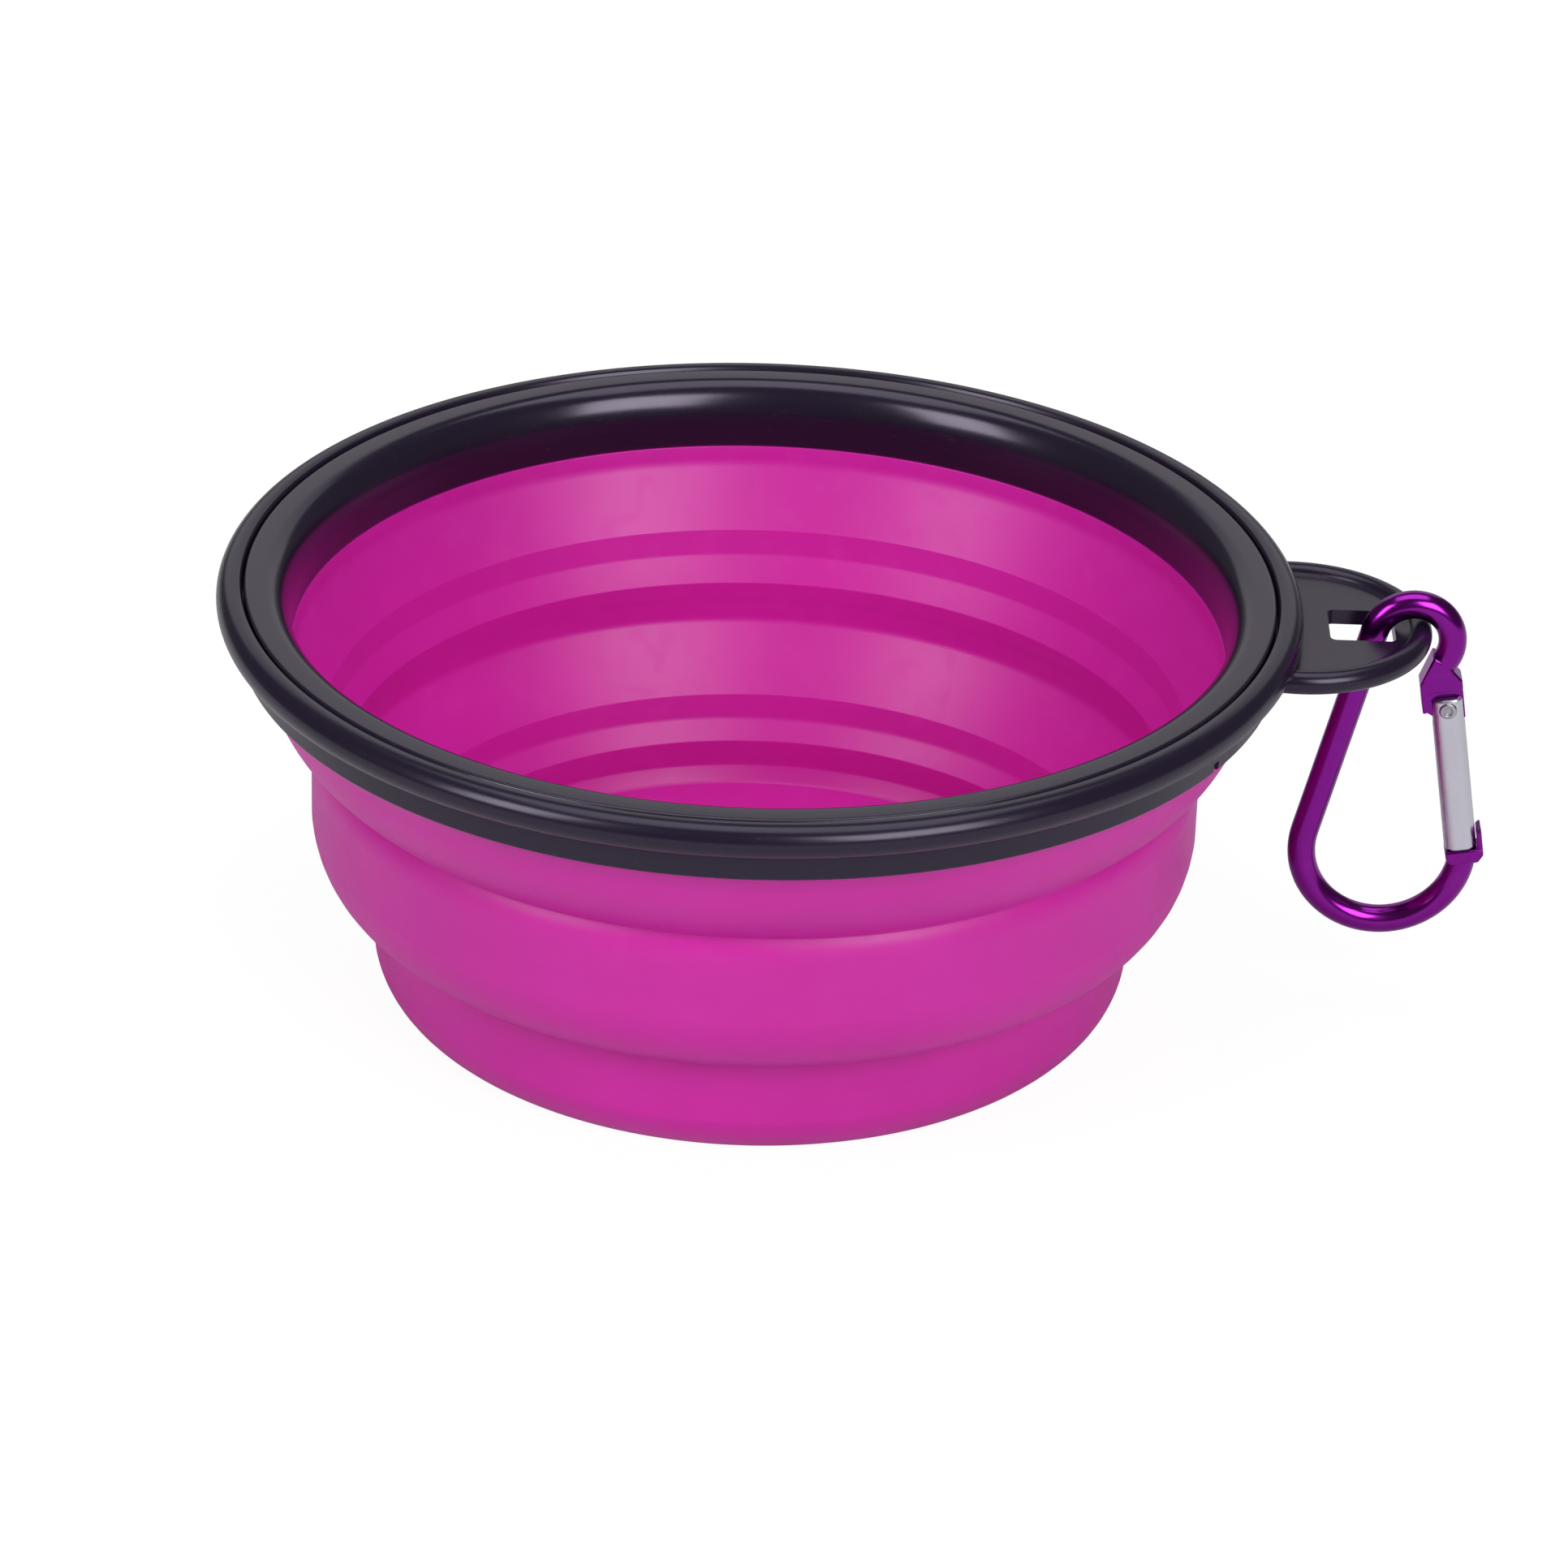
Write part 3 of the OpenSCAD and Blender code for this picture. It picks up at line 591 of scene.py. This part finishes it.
def inGate(out):
    # a point of the top bend's end face in the gate's own frame, out from the bar's centreline
    x = (topBend + out) * cos(endAngle) - topBend
    z = hook["rivetDrop"] - (topBend + out) * sin(endAngle)
    return (x * cos(gateLean) + z * sin(gateLean), z * cos(gateLean) - x * sin(gateLean))


def makeBar():
    bpy.ops.object.select_all(action="DESELECT")
    bpy.ops.mesh.primitive_circle_add(vertices=hook["sides"], radius=hook["bar"] / 1000,
                                      location=mm(noseSpot[0], 0, noseSpot[1]),
                                      rotation=(0, noseAngle, 0))
    piece = bpy.context.object
    piece.name = "hookBody"
    bpy.ops.object.mode_set(mode="EDIT")
    bpy.ops.mesh.select_all(action="SELECT")
    bpy.ops.mesh.spin(steps=hook["lowerSteps"], angle=pi + spineLean - noseAngle,
                      axis=(0, -1, 0), center=mm(lowerCentre[0], 0, lowerCentre[1]))
    rise = mm(bendStep * cos(spineLean) + hook["inset"], 0,
              hook["drop"] - bendStep * sin(spineLean))
    for _ in range(hook["spineSteps"]):
        bpy.ops.mesh.extrude_region_move(
            TRANSFORM_OT_translate={"value": tuple(v / hook["spineSteps"] for v in rise)})
    bpy.ops.mesh.spin(steps=hook["topSteps"], angle=pi - spineLean + endAngle,
                      axis=(0, -1, 0), center=mm(hook["centre"][0], 0, hook["centre"][1]))
    mergeDoubles()
    bpy.ops.mesh.fill_holes(sides=0)
    tidyMesh()
    bpy.ops.object.transform_apply(location=True, rotation=True, scale=True)
    return piece


def hookBlocks():
    # outlines of the blocks on the bar's ends, about the rivet, and their thicknesses
    inner, outer, half = hook["tongueInner"], hook["tongueOuter"], gate["width"] / 2
    low, high = hook["shoulderRise"], hook["shoulderRise"] + hook["shoulderHeight"]
    weldOut = inGate(hook["bar"] - hook["weldInset"])
    weldIn = inGate(hook["weldInset"] - hook["bar"])
    shoulder = rounded([(-inner, low), (outer, low), (outer, high, hook["shoulderRounds"][0]),
                        (weldOut[0], weldOut[1] + hook["weldDepth"]),
                        (weldIn[0], weldIn[1] + hook["weldDepth"]),
                        (-inner, high, hook["shoulderRounds"][1])])
    legFace, legFoot = -half - hook["legPlay"], -hook["legReach"]
    leg = rounded([(-inner, legFoot, hook["legRounds"][0]),
                   (legFace - hook["legBevel"][0], legFoot, hook["legRounds"][1]),
                   (legFace, hook["legBevel"][1], hook["legRounds"][1]),
                   (legFace, high), (-inner, high)])
    tongue = ([(-inner, legFoot)]
              + arcPoints((0, 0), hook["tongueReach"], *hook["tongueArc"])
              + [(outer, -hook["outerReach"]), (outer, high), (-inner, high)])
    top, ease = -gateReach - hook["gap"], hook["noseRound"]
    middle, foot = top - hook["noseHeight"] / 2, top - hook["noseHeight"]
    lipIn, lipOut = half + hook["gap"], half + hook["gap"] + hook["lip"]
    nose = rounded([(-half, top), (lipOut, top), (lipOut, middle, ease), (half, foot, ease),
                    (ease - half, foot, ease), (-half, middle, ease)])
    lip = [(lipIn, middle), (lipOut, middle), (lipOut, top + hook["lipHeight"]),
           (lipIn, top + hook["lipHeight"] - hook["lipSlope"])]
    block = hook["block"]
    return zip((shoulder, leg, tongue, nose, lip),
               (block, block, hook["tongue"], block, block - hook["lipInset"]), hook["edges"])


def makeHookBody():
    piece = makeBar()
    for outline, thickness, edge in hookBlocks():
        block = plate("hookBlock", outline, thickness, edge)
        place(block, (0, -gateLean, 0), rivetPoint)
        combine(piece, block, "UNION")
    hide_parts("carabiner_body")
    dress(piece, anodised)
    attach(piece, "hook")


def makeGate():
    # a round-edged bar along Z, its ends eased, its head slotted for the tongue
    half, depth = gate["width"] / 2, gate["thickness"] / 2
    outline = rounded(rectangle((-half, -depth), (half, depth), gate["corner"]),
                      gate["cornerSteps"])
    piece = prism("hookGate", [mm(x, y, -gateReach) for x, y in outline],
                  mm(0, 0, gateReach + gate["head"]))
    soften(piece, gate["edge"])
    cheekSlot = plate("cheekSlot", rectangle(gate["cheekLow"], gate["cheekHigh"]),
                      hook["tongue"] + gate["cheekPlay"])
    combine(piece, cheekSlot, "DIFFERENCE")
    place(piece, (0, -gateLean, 0), rivetPoint)
    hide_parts("carabiner_gate")
    dress(piece, gateMetal)
    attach(piece, "gate")


def makeRivet():
    # a turned rivet with a dimple in each domed head, laid along Y
    half = gate["thickness"] / 2
    upper = [(r, half + z, *fillet) for r, z, *fillet in rivet["head"]]
    upper.append((rivet["shank"], upper[-1][1]))
    lower = [(r, -z, *fillet) for r, z, *fillet in reversed(upper)]
    piece = turned("gateRivet", rounded(upper + lower, rivet["arcSteps"]), rivet["steps"],
                   closed=False)
    place(piece, (pi / 2, 0, 0), rivetPoint)
    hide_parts("gate_rivet")
    dress(piece, steel)
    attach(piece, "gate")


makeHookBody()
makeGate()
makeRivet()
for name in ("gate_plunger", "gate_spring"):
    dress(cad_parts[name], steel)
print("snap hook made")

# floor and light: sizes and places in metres, powers in watts

floorLook = {"size": 8, "seenShare": 0.85, "seenGlow": 1.1,
             "plain": {"Base Color": (0.72, 0.72, 0.73, 1), "Roughness": 0.9,
                       "Specular IOR Level": 0.1}}
worldLight = {"seen": 1.0, "lit": 0.14}
lampAim = (0, 0, 0.03)
lamps = [{"name": "leftSoftbox", "place": (-0.860, -0.672, 0.709), "size": (0.46, 0.68),
          "power": 6.3},
         {"name": "rightSoftbox", "place": (0.594, -0.915, 0.709), "size": (0.64, 0.68),
          "power": 9.0},
         {"name": "overheadPanel", "place": (0.0, 0.15, 1.7), "size": (1.6, 1.2),
          "power": 11.5},
         {"name": "backPanel", "place": (0.0, 1.6, 0.8), "size": (2.0, 1.0), "power": 3.6}]


def addFloor():
    bpy.ops.object.select_all(action="DESELECT")
    bpy.ops.mesh.primitive_plane_add(size=floorLook["size"], location=(0, 0, 0))
    floor = bpy.context.object
    floor.name = "paleFloor"
    # the camera sees it nearly white, with a share of its own shading for the shadow
    finish = Finish("paleFloor", floorLook["plain"])
    seen = finish.node("ShaderNodeLightPath", {}, {}, "Is Camera Ray") * floorLook["seenShare"]
    glow = finish.node("ShaderNodeEmission", {}, {"Strength": floorLook["seenGlow"]})
    shaded = Wire(finish, finish.shader.outputs[0])
    mixed = finish.node("ShaderNodeMixShader", {}, {0: seen, 1: shaded, 2: glow})
    finish.feed(finish.tree.nodes["Material Output"].inputs["Surface"], mixed)
    dress(floor, finish)


def addWorld():
    world = bpy.data.worlds.new("paleRoom")
    bpy.context.scene.world = world
    world.use_nodes = True
    tree = world.node_tree
    tree.nodes.clear()
    ray = tree.nodes.new("ShaderNodeLightPath")
    mix, out = tree.nodes.new("ShaderNodeMixShader"), tree.nodes.new("ShaderNodeOutputWorld")
    tree.links.new(ray.outputs["Is Camera Ray"], mix.inputs[0])
    for slot, key in enumerate(("lit", "seen"), 1):
        light = tree.nodes.new("ShaderNodeBackground")
        light.inputs["Strength"].default_value = worldLight[key]
        tree.links.new(light.outputs[0], mix.inputs[slot])
    tree.links.new(mix.outputs[0], out.inputs[0])


def addLamps():
    for lamp in lamps:
        bpy.ops.object.light_add(type="AREA", location=lamp["place"])
        light = bpy.context.object
        light.name = lamp["name"]
        light.data.shape, light.data.energy = "RECTANGLE", lamp["power"]
        light.data.size, light.data.size_y = lamp["size"]
        aim = Vector(lampAim) - Vector(lamp["place"])
        light.rotation_euler = aim.to_track_quat("-Z", "Y").to_euler()


addFloor()
addWorld()
addLamps()
bpy.context.scene.view_settings.view_transform = "Standard"
print("floor and light placed")
